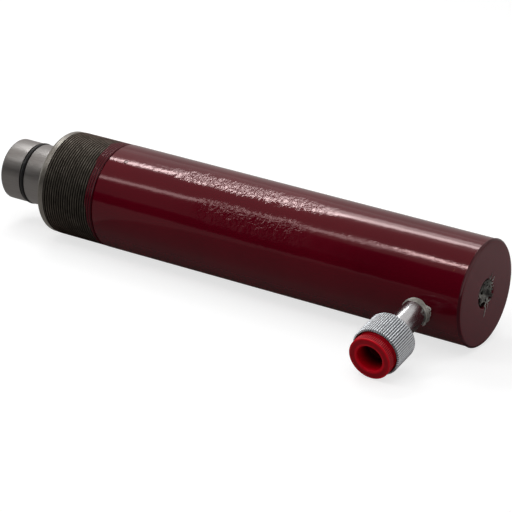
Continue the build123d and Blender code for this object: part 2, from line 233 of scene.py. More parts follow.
# Studio, in metres: the floor's height, how far cards lie above it, the reach of the cards along
# the ram, how far off the strip lamps are, and the light of the world and the floor's lift.
FLOOR = cad_bounds[0][2] - 0.0005
BOARD_RISE = 0.0002
CARD_SPAN = (-3.0, 1.5)
STRIP_DISTANCE = 0.9
WORLD_LIGHT = 0.30
FLOOR_LIFT = 0.71


class Line:
    """A straight axis with its own angle round it, in millimetres."""

    def __init__(self, origin, along, zero, quarter):
        self.origin = np.array(origin, float)
        self.along = np.array(along, float)
        self.zero = np.array(zero, float)
        self.quarter = np.array(quarter, float)

    def point(self, station, radius, angle):
        """Point = origin + station along the axis + radius turned by angle from zero to quarter."""
        out = np.multiply.outer(station, self.along)
        out = out + np.multiply.outer(radius * np.cos(angle), self.zero)
        out = out + np.multiply.outer(radius * np.sin(angle), self.quarter)
        return self.origin + out


# Round the ram the angle runs from the coupler's side, -Y, up to +Z. Round the coupler it runs
# from +X up.
RAM = Line((0, 0, 0), (-1, 0, 0), (0, -1, 0), (0, 0, 1))
COUPLER = Line(
    (-PORT_STATION, 0, 0),
    (0, -math.cos(COUPLER_DROOP), -math.sin(COUPLER_DROOP)),
    (1, 0, 0),
    (0, -math.sin(COUPLER_DROOP), math.cos(COUPLER_DROOP)),
)


def profile(corners, step=1.0, round_steps=5):
    """Section of a turned piece, as an array of (station, radius) rows.

    Each corner is (station, radius) or (station, radius, round). A rounded corner is a quadratic
    Bezier curve from one tangent point to the other, and a straight run is divided evenly into
    pieces no longer than step.
    """
    spots = [np.array(c[:2], float) for c in corners]
    rounds = [c[2] if len(c) > 2 else 0.0 for c in corners]
    line = []
    for k, spot in enumerate(spots):
        if rounds[k]:
            back = spots[k - 1] - spot
            ahead = spots[(k + 1) % len(spots)] - spot
            first = spot + back / np.linalg.norm(back) * rounds[k]
            last = spot + ahead / np.linalg.norm(ahead) * rounds[k]
            s = np.linspace(0, 1, round_steps + 1)[:, None]
            line.extend((1 - s) ** 2 * first + 2 * s * (1 - s) * spot + s ** 2 * last)
        else:
            line.append(spot)
    rows = [line[0]]
    for start, end in zip(line[:-1], line[1:]):
        count = max(1, math.ceil(np.linalg.norm(end - start) / step))
        share = np.linspace(0, 1, count + 1)[1:, None]
        rows.extend(start + (end - start) * share)
    return np.array(rows)


def grid_faces(rows, columns, close_rows, close_columns):
    """Corner numbers of the quads of a rows by columns grid, joined end to end where closed."""
    i = np.arange(rows if close_rows else rows - 1)[:, None]
    j = np.arange(columns if close_columns else columns - 1)[None, :]
    i2 = (i + 1) % rows
    j2 = (j + 1) % columns
    corners = [i * columns + j, i2 * columns + j, i2 * columns + j2, i * columns + j2]
    return np.stack([np.broadcast_to(c, (i.size, j.size)) for c in corners], -1).reshape(-1, 4)


def make_piece(name, points, faces, sharp=35.0):
    """Put points in millimetres and faces into a mesh object, outward and smooth but for edges."""
    mesh = bpy.data.meshes.new(name)
    mesh.from_pydata((points.reshape(-1, 3) * MM).tolist(), [], faces)
    mesh.validate()
    mesh.polygons.foreach_set("use_smooth", np.ones(len(mesh.polygons), bool))
    mesh.set_sharp_from_angle(angle=math.radians(sharp))
    piece = bpy.data.objects.new(name, mesh)
    bpy.context.scene.collection.objects.link(piece)
    return piece


def turned_points(line, section, count, shape=None):
    """Points of a section carried round an axis in count steps.

    shape(station, radius, angle) gives the radius at each point, as whole arrays.
    """
    angle = np.arange(count) * TURN / count
    station = np.repeat(section[:, 0:1], count, 1)
    radius = np.repeat(section[:, 1:2], count, 1)
    angle = np.repeat(angle[None, :], len(section), 0)
    if shape:
        radius = shape(station, radius, angle)
    return line.point(station, radius, angle), station, radius, angle


def turned(name, line, section, count, shape=None, sharp=35.0, marks=None):
    """A closed turned piece. The section is a closed loop, or starts and ends on the axis.

    Where the section meets the axis its row of points is one point, so the pole is closed by a
    fan of triangles. marks gives named attributes, each a function of the plain section's
    station, radius and angle.
    """
    poles = section[0, 1] == 0
    if not poles:
        section = section[:-1] if np.allclose(section[0], section[-1]) else section
    points = turned_points(line, section, count, shape)[0]
    plain_grid = turned_points(line, section, count)[1:]
    values = {key: value(*plain_grid) for key, value in (marks or {}).items()}
    rows = len(section)
    if not poles:
        faces = grid_faces(rows, count, True, True).tolist()
        piece = make_piece(name, points, faces, sharp)
        for key, value in values.items():
            lay_value(piece, key, value)
        return piece
    body = points[1:-1].reshape(-1, 3)
    ends = np.stack([points[0, 0], points[-1, 0]])
    faces = grid_faces(rows - 2, count, False, True).tolist()
    j = np.arange(count)
    k = (j + 1) % count
    last_row = (rows - 3) * count
    first = np.stack([np.full(count, len(body)), j, k], -1)
    last = np.stack([np.full(count, len(body) + 1), last_row + k, last_row + j], -1)
    faces += first.tolist() + last.tolist()
    piece = make_piece(name, np.concatenate([body, ends]), faces, sharp)
    for key, value in values.items():
        lay_value(piece, key, np.append(value[1:-1].ravel(), [value[0, 0], value[-1, 0]]))
    return piece


def lay_value(piece, name, values):
    """Store one number for each vertex as a named attribute."""
    layer = piece.data.attributes.new(name, "FLOAT", "POINT")
    layer.data.foreach_set("value", np.asarray(values, np.float32).ravel())


def smoothstep(low, high, x):
    """0 below low, 1 above high, and a smooth S between."""
    s = np.clip((x - low) / (high - low), 0, 1)
    return s * s * (3 - 2 * s)


def waves(seed, count, x, y, lengths):
    """Smooth noise: a sum of sine waves of random direction, phase and length, from -1 to 1."""
    rng = np.random.default_rng(seed)
    total = np.zeros(np.broadcast(x, y).shape)
    for _ in range(count):
        direction = rng.uniform(0, TURN)
        length = rng.uniform(*lengths)
        phase = rng.uniform(0, TURN)
        along = x * math.cos(direction) + y * math.sin(direction)
        total = total + np.sin(TURN * along / length + phase)
    return total / count


def linear(hex_colour):
    """An sRGB hex colour as linear red, green, blue and alpha."""
    channels = [int(hex_colour[k:k + 2], 16) / 255 for k in (1, 3, 5)]
    return [c / 12.92 if c <= 0.04045 else ((c + 0.055) / 1.055) ** 2.4 for c in channels] + [1.0]


def add(tree, kind, values=None, links=None, **settings):
    """Add one node with its settings, socket values and incoming links."""
    node = tree.nodes.new(kind)
    for key, value in settings.items():
        setattr(node, key, value)
    for key, value in (values or {}).items():
        node.inputs[key].default_value = value
    for key, source in (links or {}).items():
        tree.links.new(source, node.inputs[key])
    return node


def new_material(name):
    """A node material and its empty tree."""
    material = bpy.data.materials.new(name)
    material.use_nodes = True
    tree = material.node_tree
    tree.nodes.clear()
    return material, tree


def between(tree, source, low, high, dark, light):
    """A colour that goes from dark to light as a number goes from low to high."""
    share = add(tree, "ShaderNodeMapRange", {"From Min": low, "From Max": high},
                {"Value": source})
    return add(tree, "ShaderNodeMix", {COLOUR_A: linear(dark), COLOUR_B: linear(light)},
               {SHARE: share.outputs[0]}, data_type="RGBA")


def shaded(tree, colour, dark):
    """Darken a colour where the shade attribute is 1: painted shade in grooves, deep holes, recesses
    and on chamfered edges.
    """
    shade = add(tree, "ShaderNodeAttribute", attribute_name="shade")
    return add(tree, "ShaderNodeMix", {COLOUR_B: linear(dark)},
               {SHARE: shade.outputs["Fac"], COLOUR_A: colour}, data_type="RGBA")


def steel(name, light, dark, roughness, rough_spread, grain_mm, stretch, stain=0.25, groove="#23272B"):
    """Machined or plated metal: fine marks drawn out along one direction, and a faint stain.

    grain_mm is the width of a mark and stretch is how far it is drawn out along X, Y and Z.
    stain is the share of the broad stain in the colour, and groove the colour of painted shade where
    the shade attribute is 1.
    """
    material, tree = new_material(name)
    coords = add(tree, "ShaderNodeTexCoord")
    scale = add(tree, "ShaderNodeMapping", {"Scale": [1 / (grain_mm * MM * s) for s in stretch]},
                {"Vector": coords.outputs["Object"]})
    marks = add(tree, "ShaderNodeTexNoise", {"Scale": 1.0, "Detail": 2.0},
                {"Vector": scale.outputs[0]})
    stains = add(tree, "ShaderNodeTexNoise", {"Scale": 90.0, "Detail": 3.0},
                 {"Vector": coords.outputs["Object"]})
    blend = add(tree, "ShaderNodeMix", {SHARE: stain},
                {NUMBER_A: marks.outputs[0], NUMBER_B: stains.outputs[0]})
    tone = between(tree, blend.outputs[0], 0.36, 0.64, dark, light)
    colour = shaded(tree, tone.outputs[COLOUR_OUT], groove)
    rough = add(tree, "ShaderNodeMapRange", {
        "From Min": 0.3, "From Max": 0.7, "To Min": roughness - rough_spread,
        "To Max": roughness + rough_spread}, {"Value": marks.outputs[0]})
    shader = add(tree, "ShaderNodeBsdfPrincipled", {"Metallic": 1.0},
                 {"Base Color": colour.outputs[COLOUR_OUT], "Roughness": rough.outputs[0]})
    add(tree, "ShaderNodeOutputMaterial", links={"Surface": shader.outputs[0]})
    return material


def plain(name, light, dark, roughness, grain_mm, bump_mm, groove="#0C0C0C", **extra):
    """Rubber, plastic or tape: mottled colour, a fine moulded or wound texture, and painted shade in
    the colour groove where the shade attribute is 1.
    """
    material, tree = new_material(name)
    coords = add(tree, "ShaderNodeTexCoord")
    grain = add(tree, "ShaderNodeTexNoise", {"Scale": 1 / (grain_mm * MM), "Detail": 3.0},
                {"Vector": coords.outputs["Object"]})
    mottle = add(tree, "ShaderNodeTexNoise", {"Scale": 150.0, "Detail": 3.0},
                 {"Vector": coords.outputs["Object"]})
    tone = between(tree, mottle.outputs[0], 0.35, 0.65, dark, light)
    colour = shaded(tree, tone.outputs[COLOUR_OUT], groove)
    rough = add(tree, "ShaderNodeMapRange", {
        "From Min": 0.3, "From Max": 0.7, "To Min": roughness * 0.85,
        "To Max": roughness * 1.15}, {"Value": grain.outputs[0]})
    bump = add(tree, "ShaderNodeBump", {"Distance": bump_mm * MM}, {"Height": grain.outputs[0]})
    values = {key.replace("_", " "): value for key, value in extra.items()}
    shader = add(tree, "ShaderNodeBsdfPrincipled", values,
                 {"Base Color": colour.outputs[COLOUR_OUT], "Roughness": rough.outputs[0],
                  "Normal": bump.outputs[0]})
    add(tree, "ShaderNodeOutputMaterial", links={"Surface": shader.outputs[0]})
    return material


def spot(tree, coords, centre, size, turn=(0, 0, 0)):
    """1 inside a small ellipsoid round a point and 0 outside, in millimetres and degrees."""
    near = add(tree, "ShaderNodeMapping", {"Location": [c * MM for c in centre],
               "Rotation": [math.radians(a) for a in turn], "Scale": [c * MM for c in size]},
               {"Vector": coords.outputs["Object"]}, vector_type="TEXTURE")
    far = add(tree, "ShaderNodeVectorMath", links={0: near.outputs[0]}, operation="LENGTH")
    return add(tree, "ShaderNodeMapRange", {
        "From Min": 0.7, "From Max": 1.0, "To Min": 1.0, "To Max": 0.0},
        {"Value": far.outputs["Value"]})


def red_enamel():
    """Stoved red enamel on the tube, worn through to dull cut steel on the thread.

    The bare attribute is 0 on paint and 1 on steel. Another attribute is 1 on the thread's crests and
    lightens them, as wear and as a painted highlight. The shade attribute darkens the thread's grooves
    and the base's rim as painted shade. The peel attribute says where the paint dried with an
    orange-peel skin.
    """
    material, tree = new_material("red_enamel_and_cut_steel")
    coords = add(tree, "ShaderNodeTexCoord")
    bare = add(tree, "ShaderNodeAttribute", attribute_name="bare")
    crest_wear_and_glint = add(tree, "ShaderNodeAttribute", attribute_name="crest_wear_and_glint")
    peel = add(tree, "ShaderNodeAttribute", attribute_name="peel")
    # Real orange peel has finer lumps. These are drawn coarse enough to show in the render, and
    # the rest of the coat waves gently.
    lumps = add(tree, "ShaderNodeTexNoise", {"Scale": 1 / (PEEL_LUMP * MM), "Detail": 2.0,
                "Roughness": 0.6, "Distortion": 0.6}, {"Vector": coords.outputs["Object"]})
    swell = add(tree, "ShaderNodeTexNoise", {"Scale": 1 / (COAT_WAVE * MM), "Detail": 1.0},
                {"Vector": coords.outputs["Object"]})
    lump_height = add(tree, "ShaderNodeMath", links={0: lumps.outputs[0], 1: peel.outputs["Fac"]},
                      operation="MULTIPLY")
    height = add(tree, "ShaderNodeMath", {1: 0.08}, {0: swell.outputs[0]}, operation="MULTIPLY")
    both = add(tree, "ShaderNodeMath", links={0: lump_height.outputs[0], 1: height.outputs[0]},
               operation="ADD")
    pit = spot(tree, coords, PIT_PLACE, PIT_SIZE)
    dented = add(tree, "ShaderNodeMath", links={0: both.outputs[0], 1: pit.outputs[0]},
                 operation="SUBTRACT")
    bump = add(tree, "ShaderNodeBump", {"Distance": PEEL_HEIGHT * MM}, {"Height": dented.outputs[0]})
    tone = add(tree, "ShaderNodeTexNoise", {"Scale": 25.0, "Detail": 3.0},
               {"Vector": coords.outputs["Object"]})
    paint = between(tree, tone.outputs[0], 0.3, 0.7, "#540113", "#5D0215")
    scratch = spot(tree, coords, SCRATCH_PLACE, SCRATCH_SIZE, SCRATCH_TURN)
    scraped = add(tree, "ShaderNodeMix", {COLOUR_B: linear("#9A5A3C")},
                  {SHARE: scratch.outputs[0], COLOUR_A: paint.outputs[COLOUR_OUT]},
                  data_type="RGBA")
    chip = spot(tree, coords, CHIP_PLACE, CHIP_SIZE, CHIP_TURN)
    # Darkens the colour at the chip and at the pit.
    dark_spots = add(tree, "ShaderNodeMath", links={0: chip.outputs[0], 1: pit.outputs[0]},
               operation="MAXIMUM")
    chipped = add(tree, "ShaderNodeMix", {COLOUR_B: linear("#1A0508")},
                  {SHARE: dark_spots.outputs[0], COLOUR_A: scraped.outputs[COLOUR_OUT]},
                  data_type="RGBA")
    # Painted shade in the thread's grooves and on the chamfer round the base face.
    coat = shaded(tree, chipped.outputs[COLOUR_OUT], "#16000A")
    cut = add(tree, "ShaderNodeTexNoise", {"Scale": 1 / (0.8 * MM), "Detail": 4.0},
              {"Vector": coords.outputs["Object"]})
    oxide = between(tree, cut.outputs[0], 0.35, 0.65, "#2A2824", "#3C3934")
    # The thread's crests are lighter, as wear and as a painted highlight.
    crest = add(tree, "ShaderNodeMix", {COLOUR_B: linear("#8A857B")},
                {SHARE: crest_wear_and_glint.outputs["Fac"], COLOUR_A: oxide.outputs[COLOUR_OUT]},
                data_type="RGBA")
    colour = add(tree, "ShaderNodeMix", links={
        SHARE: bare.outputs["Fac"], COLOUR_A: coat.outputs[COLOUR_OUT],
        COLOUR_B: crest.outputs[COLOUR_OUT]}, data_type="RGBA")
    rough = add(tree, "ShaderNodeMix", {NUMBER_A: 0.11, NUMBER_B: 0.48},
                {SHARE: bare.outputs["Fac"]})
    shader = add(tree, "ShaderNodeBsdfPrincipled", {"Specular Tint": GLOSS_TINT}, {
        "Base Color": colour.outputs[COLOUR_OUT], "Roughness": rough.outputs[0],
        "Metallic": bare.outputs["Fac"], "Normal": bump.outputs[0]})
    add(tree, "ShaderNodeOutputMaterial", links={"Surface": shader.outputs[0]})
    return material


def groove_share(station, angle):
    """Share of the thread's depth at a point, 0 on the crest and 1 in the root.

    The phase is the station and one pitch for each turn, and the groove is a V with its crest and
    root a little flattened.
    """
    phase = (station - THREAD_START) / THREAD_PITCH + angle / TURN
    slope = 1 - np.abs(2 * ((phase - 0.35) % 1.0) - 1)
    return smoothstep(0.15, 0.95, slope)


def paint_edge(angle):
    """Station where the paint ends: a tilted line with small waves."""
    tilt = PAINT_EDGE_SWING * np.cos(angle - PAINT_EDGE_HIGH)
    return PAINT_EDGE + tilt + 0.35 * np.sin(5 * angle + 1.0) + 0.2 * np.sin(13 * angle)


def barrel_marks():
    """Where the barrel is bare, worn and lit by a painted highlight on the crests, darkened by painted
    shade, and orange-peeled, as functions of station, radius and angle.
    """

    def on_thread(station, radius):
        return (radius > THREAD_R - HAIR) & (station > THREAD_START + THREAD_RUNOUT)

    def bare(station, radius, angle):
        edge = smoothstep(-0.2, 0.2, station - paint_edge(angle))
        inside = (radius < BODY_R - BASE_CHAMFER - 4) & (station > BASE_CHAMFER)
        mouth = station > BARREL_END - THREAD_CHAMFER - HAIR
        return np.clip(np.where(on_thread(station, radius), edge, 0) + inside + mouth, 0, 1)

    # Lightens the thread's crests in patches, as wear and as a painted highlight.
    def crest_wear_and_glint(station, radius, angle):
        patches = 0.55 + 0.45 * waves(WEAR_SEED, 9, station, angle * BODY_R, (3, 11))
        return (1 - groove_share(station, angle)) ** 5 * on_thread(station, radius) * patches

    # Painted shade in the thread's grooves and on the chamfer round the base face.
    def shade(station, radius, angle):
        rim = (station < BASE_CHAMFER + 0.1) & (radius > BODY_R - BASE_CHAMFER - 0.1)
        return 0.8 * groove_share(station, angle) * on_thread(station, radius) + 0.55 * rim

    def peel(station, radius, angle):
        degrees = np.degrees((angle + math.pi) % TURN - math.pi)
        ragged = 0.75 + 0.5 * waves(PEEL_SEED, 12, station, angle * BODY_R, (6, 22))
        total = 0
        for strength, fade_in, fade_out, middle, spread in PEEL_FIELDS:
            along = smoothstep(*fade_in, station) * (1 - smoothstep(*fade_out, station))
            total = total + strength * along * np.exp(-((degrees - middle) / spread) ** 2)
        return PEEL_LEAST + (1 - PEEL_LEAST) * np.clip(total * ragged, 0, 1)

    return {"bare": bare, "crest_wear_and_glint": crest_wear_and_glint, "shade": shade, "peel": peel}


def barrel_body():
    """Tube with its base, thread and bore: a closed section carried round the ram's axis.

    The radius loses the thread's depth over the thread, and less where paint fills the grooves.
    """
    corners = [
        (BASE_HOLE_DEPTH, TIE_HOLE_R), (BASE_HOLE_DEPTH, BASE_HOLE_R),
        (BASE_HOLE_SINK, BASE_HOLE_R), (0, BASE_HOLE_R + BASE_HOLE_SINK, 0.2),
        (0, BODY_R - BASE_CHAMFER, 0.5), (BASE_CHAMFER, BODY_R, 0.6),
    ]
    groove_end = THREAD_START + THREAD_RUNOUT
    marks = barrel_marks()
    base = profile(corners, 2.5)
    tube = profile([base[-1], (THREAD_START, BODY_R, 0.25)], 1.3)
    groove = profile([tube[-1], (THREAD_START + 0.1, THREAD_ROOT_R, 0.3),
                      (groove_end, THREAD_ROOT_R, 0.2), (groove_end + 0.1, THREAD_R)], 0.3, 3)
    thread = profile([groove[-1], (BARREL_END - THREAD_CHAMFER, THREAD_R)], THREAD_PITCH / 8)
    inner = profile([(BARREL_END - THREAD_CHAMFER, THREAD_R), (BARREL_END, THREAD_R - THREAD_CHAMFER),
                     (BARREL_END, GLAND_R), (GLAND_START, GLAND_R), (GLAND_START, BORE_R),
                     (CHAMBER_FLOOR, BORE_R), (CHAMBER_FLOOR, TIE_HOLE_R),
                     (BASE_HOLE_DEPTH, TIE_HOLE_R)], 30.0)
    section = np.concatenate([base, tube[1:], groove[1:], thread[1:], inner[1:-1]])

    def shape(station, radius, angle):
        cut = (radius > THREAD_R - HAIR) & (station > groove_end)
        painted = 1 - smoothstep(-0.6, 0.6, station - paint_edge(angle))
        depth = THREAD_DEPTH * (1 - 0.2 * painted) * groove_share(station, angle)
        crinkle = 0.5 + 0.5 * waves(CRINKLE_SEED, 24, station, angle * BODY_R, (3, 7))
        skin = (radius > BODY_R - HAIR) * marks["peel"](station, radius, angle)
        return radius - depth * cut - CRINKLE_DEPTH * crinkle * skin

    return turned("barrel_body", RAM, section, BARREL_STEPS, shape, 60.0, marks)


def plunger_rod():
    """Hollow plunger: a section from its blind bore round to the centre drilling in its end."""
    half = RING_GROOVE_WIDTH / 2
    section = profile([
        (PLUNGER_BORE_END, 0), (PLUNGER_BORE_END - DRILL_POINT, PLUNGER_BORE_R),
        (PLUNGER_START, PLUNGER_BORE_R), (PLUNGER_START, PLUNGER_R),
        (RING_STATION - half, PLUNGER_R, 0.2), (RING_STATION - half, RING_GROOVE_R),
        (RING_STATION + half, RING_GROOVE_R), (RING_STATION + half, PLUNGER_R, 0.2),
        (PLUNGER_END - PLUNGER_CHAMFER, PLUNGER_R, 0.3),
        (PLUNGER_END, PLUNGER_R - PLUNGER_CHAMFER, 0.3),
        (PLUNGER_END, CENTRE_DRILL_R), (PLUNGER_END - CENTRE_DRILL_DEPTH, 0),
    ], 12.0)

    # Painted shade on the chamfer at the rod's end.
    def shade(station, radius, angle):
        past_edge = station > PLUNGER_END - PLUNGER_CHAMFER - 0.1
        rim = past_edge & (radius > PLUNGER_R - PLUNGER_CHAMFER - 0.1)
        return 0.6 * rim

    return turned("plunger_rod", RAM, section, PLUNGER_STEPS, sharp=40.0, marks={"shade": shade})


def wire_loop(name, line, mean_r, wire_r, station, count):
    """A ring of round wire: a circle carried round an axis."""
    s = np.linspace(0, TURN, 21)
    section = np.stack([station - wire_r * np.sin(s), mean_r + wire_r * np.cos(s)], -1)
    return turned(name, line, section, count, sharp=80.0)


def coil_spring(name, line, mean_r, wire_r, ends, turns):
    """Compression spring: a circle carried along a helix whose end turns lie closed, capped flat."""
    turn = np.arange(turns * COIL_STEPS + 1) / COIL_STEPS
    rise = ends[1] - ends[0] - 2 * wire_r
    closed = 2 * wire_r
    pitch = (rise - 2 * closed) / (turns - 2)
    height = np.where(turn < 1, closed * turn, closed + pitch * (turn - 1))
    height = np.where(turn > turns - 1, rise - closed * (turns - turn), height)
    s = np.arange(COIL_SIDES) * TURN / COIL_SIDES
    station = ends[0] + wire_r + height[:, None] + wire_r * np.sin(s)[None, :]
    radius = mean_r + wire_r * np.cos(s)[None, :] + 0 * height[:, None]
    angle = TURN * turn[:, None] + 0 * s[None, :]
    points = line.point(station, radius, angle)
    faces = grid_faces(len(turn), COIL_SIDES, False, True)[:, ::-1].tolist()
    last = len(turn) * COIL_SIDES
    faces.append(list(range(COIL_SIDES)))
    faces.append(list(range(last - 1, last - COIL_SIDES - 1, -1)))
    return make_piece(name, points, faces, sharp=50.0)


def coupler_nipple():
    """Nipple, flange and nose of the coupler: a closed section carried round its axis."""
    section = profile([
        (NIPPLE_START, PASSAGE_R), (NIPPLE_START, NIPPLE_R - NIPPLE_CHAMFER),
        (NIPPLE_START + NIPPLE_CHAMFER, NIPPLE_R),
        (CIRCLIP_STATION - CIRCLIP_WIRE_R, NIPPLE_R),
        (CIRCLIP_STATION - CIRCLIP_WIRE_R, CIRCLIP_SEAT_R),
        (CIRCLIP_STATION + CIRCLIP_WIRE_R, CIRCLIP_SEAT_R),
        (CIRCLIP_STATION + CIRCLIP_WIRE_R, NIPPLE_R), (FLANGE[0], NIPPLE_R, 0.2),
        (FLANGE[0], FLANGE_R, 0.3), (FLANGE[1], FLANGE_R, 0.3), (FLANGE[1], NOSE_R),
        (NOSE_END, NOSE_R, 0.4), (NOSE_END, SOCKET_R, 0.2), (VALVE_CHAMBER[1], SOCKET_R),
        (VALVE_CHAMBER[1], VALVE_CHAMBER_R), (VALVE_CHAMBER[0], VALVE_CHAMBER_R),
        (VALVE_CHAMBER[0], PASSAGE_R), (NIPPLE_START, PASSAGE_R),
    ], 6.0)
    return turned("coupler_nipple", COUPLER, section, COUPLER_STEPS, sharp=40.0)


def knurled_collar():
    """Collar: a closed section whose outer radius is notched by a straight knurl.

    Over the knurl the radius falls by the knurl's depth times a narrow cosine valley, once for
    each rib, and the valleys fade out at both ends.
    """
    back = profile([(COLLAR_START, COLLAR_BORE_R, 0.3), (COLLAR_START, COLLAR_R, COLLAR_ROUND),
                    (KNURL_START + 1, COLLAR_R)], 1.0)
    grip = profile([back[-1], (COLLAR_END - COLLAR_CHAMFER, COLLAR_R, 0.15),
                    (COLLAR_END, COLLAR_R - COLLAR_CHAMFER, 0.1),
                    (COLLAR_END, COLLAR_MOUTH_R), (COLLAR_END - COLLAR_MOUTH_DEPTH, COLLAR_THREAD_R),
                    (COLLAR_BACK, COLLAR_THREAD_R), (COLLAR_BACK, COLLAR_BORE_R),
                    (CLIP_GROOVE[1], COLLAR_BORE_R), (CLIP_GROOVE[1], CLIP_GROOVE_R),
                    (CLIP_GROOVE[0], CLIP_GROOVE_R), (CLIP_GROOVE[0], COLLAR_BORE_R),
                    (COLLAR_START, COLLAR_BORE_R)], 2.0)
    section = np.concatenate([back, grip[1:]])

    def over_knurl(station, radius):
        fade = smoothstep(KNURL_START - 0.5, KNURL_START + 0.4, station)
        return fade * (radius > COLLAR_MOUTH_R + 0.05)

    def shape(station, radius, angle):
        valley = (0.5 - 0.5 * np.cos(KNURLS * angle)) ** 1.6
        return radius - KNURL_DEPTH * valley * over_knurl(station, radius)

    # Painted shade and dirt in the knurl's valleys.
    def shade(station, radius, angle):
        valley = (0.5 - 0.5 * np.cos(KNURLS * angle)) ** 2.8
        return 0.95 * valley * over_knurl(station, radius)

    steps = KNURLS * STEPS_PER_KNURL
    return turned("knurled_collar", COUPLER, section, steps, shape, 60.0, {"shade": shade})


def dust_plug():
    """Plug: a section from its blind hole's floor out over the ribbed rim to its inner end."""
    section = profile([
        (PLUG_FLOOR, 0), (PLUG_FLOOR, PLUG_FLOOR_R, 0.8), (PLUG_FACE, PLUG_MOUTH_R, 0.9),
        (PLUG_FACE, PLUG_FLANGE_R, PLUG_ROUND), (PLUG_NECK[1], PLUG_FLANGE_R, 0.25),
        (PLUG_NECK[1], PLUG_NECK_R, 0.2), (PLUG_NECK[0] + 0.4, PLUG_NECK_R),
        (PLUG_NECK[0], PLUG_STEM_R, 0.2), (PLUG_STEM_START + PLUG_LEAD_IN, PLUG_STEM_R),
        (PLUG_STEM_START, PLUG_STEM_R - PLUG_LEAD_IN), (PLUG_STEM_START, 0),
    ], 0.9)[::-1]
    # Turned end for end, so that the faces point outwards.

    def rim_valley(station, radius, angle):
        rim = (station > PLUG_NECK[1] + 0.05) & (radius > PLUG_FLANGE_R - 0.12)
        fade = 1 - smoothstep(PLUG_FACE - 0.7, PLUG_FACE - 0.3, station)
        return (0.5 - 0.5 * np.cos(PLUG_RIBS * angle)) ** 0.8 * fade * rim

    def shape(station, radius, angle):
        return radius - PLUG_RIB_DEPTH * rim_valley(station, radius, angle)

    # Painted shade deep in the hole, on the neck under the flange and in the rib valleys.
    def shade(station, radius, angle):
        hole = (radius < PLUG_MOUTH_R + 0.3) * smoothstep(1.0, 9.0, PLUG_FACE - station)
        neck = (radius < PLUG_NECK_R + 0.1) & (radius > PLUG_MOUTH_R + 1)
        valley = rim_valley(station, radius, angle)
        return np.maximum(np.maximum(0.97 * hole, 0.5 * neck), 0.9 * valley)

    steps = PLUG_RIBS * STEPS_PER_RIB
    return turned("ribbed_dust_plug", COUPLER, section, steps, shape, 50.0, {"shade": shade})


def strand(seed, mean_r, height, thick, wander):
    """Rows of round sections for one closed strand of tape wound round the nipple's root.

    The strand rides on the barrel's round side, stands out a little more on its base side, and
    wanders and thickens by a few sine waves.
    """
    rng = np.random.default_rng(seed)
    a = np.arange(STRAND_STEPS) * TURN / STRAND_STEPS
    wave = np.zeros(STRAND_STEPS)
    lift = np.zeros(STRAND_STEPS)
    fat = np.ones(STRAND_STEPS)
    for k in range(1, 9):
        wave += rng.normal() / k * np.sin(k * a + rng.uniform(0, TURN))
        lift += rng.normal() / k * np.sin(k * a + rng.uniform(0, TURN))
        fat += 0.22 * rng.normal() / math.sqrt(k) * np.sin(k * a + rng.uniform(0, TURN))
    fat = np.clip(fat, 0.45, 1.5)
    middle = mean_r + 0.3 * np.cos(a + 0.35) + wander * wave
    saddle = np.sqrt(BODY_R ** 2 - (middle * np.sin(a)) ** 2)
    s = np.arange(STRAND_SIDES) * TURN / STRAND_SIDES
    radius = middle[:, None] + thick * fat[:, None] * np.cos(s)[None, :]
    station = (saddle + height + wander * lift)[:, None]
    station = station + thick * 1.1 * fat[:, None] * np.sin(s)[None, :]
    return COUPLER.point(station, radius, a[:, None] + 0 * s[None, :])


def joined_strips(name, rings, strips, sharp):
    """One mesh of closed rings and of open strips, each a grid of rows, the strips capped."""
    points = []
    faces = []
    offset = 0
    for rows, closed in [(r, True) for r in rings] + [(r, False) for r in strips]:
        steps, sides = rows.shape[:2]
        points.append(rows.reshape(-1, 3))
        faces += (grid_faces(steps, sides, closed, True)[:, ::-1] + offset).tolist()
        if not closed:
            last = offset + (steps - 1) * sides
            faces.append([offset + k for k in range(sides)])
            faces.append([last + k for k in reversed(range(sides))])
        offset += steps * sides
    return make_piece(name, np.concatenate(points), faces, sharp)


def sealing_tape():
    """Bunched sealing tape: closed strands of uneven thickness, and frayed ends at their right."""
    # Strands as seed, mean radius, height above the barrel, thickness and wander.
    strands = [
        (3, 6.95, 0.05, 0.30, 0.12), (4, 6.85, 0.55, 0.26, 0.12), (8, 6.8, 1.0, 0.24, 0.12),
        (12, 6.72, 1.5, 0.22, 0.12), (15, 7.1, 0.35, 0.2, 0.18), (17, 7.0, 0.8, 0.18, 0.2),
        (19, 6.75, 1.9, 0.16, 0.12), (23, 7.2, 0.15, 0.16, 0.2),
    ]
    rings = [strand(*numbers) for numbers in strands]
    # Frayed ends as station, radius and angle in degrees at their start and end, and their width.
    frays = [
        (27.6, 7.2, 38, 28.6, 9.9, 24, 1.1), (28.6, 9.9, 24, 28.8, 8.6, 2, 0.8),
        (28.2, 7.5, 30, 28.9, 9.2, 20, 0.7), (28.8, 8.5, 6, 29.0, 7.9, -28, 0.9),
        (28.6, 7.6, 10, 29.2, 8.1, -42, 0.8), (29.0, 7.4, 0, 29.8, 8.0, -48, 0.6),
        (28.3, 7.2, 60, 29.3, 7.6, 15, 0.6), (28.9, 7.1, -20, 30.4, 7.7, -50, 0.5),
    ]
    strips = []
    for k, (h1, r1, a1, h2, r2, a2, width) in enumerate(frays):
        start = COUPLER.point(h1, r1, math.radians(a1))
        end = COUPLER.point(h2, r2, math.radians(a2))
        strips.append(ribbon(60 + k, start, end, width, 0.22, 0.22))
    return joined_strips("bunched_seal_tape", rings, strips, 80.0)


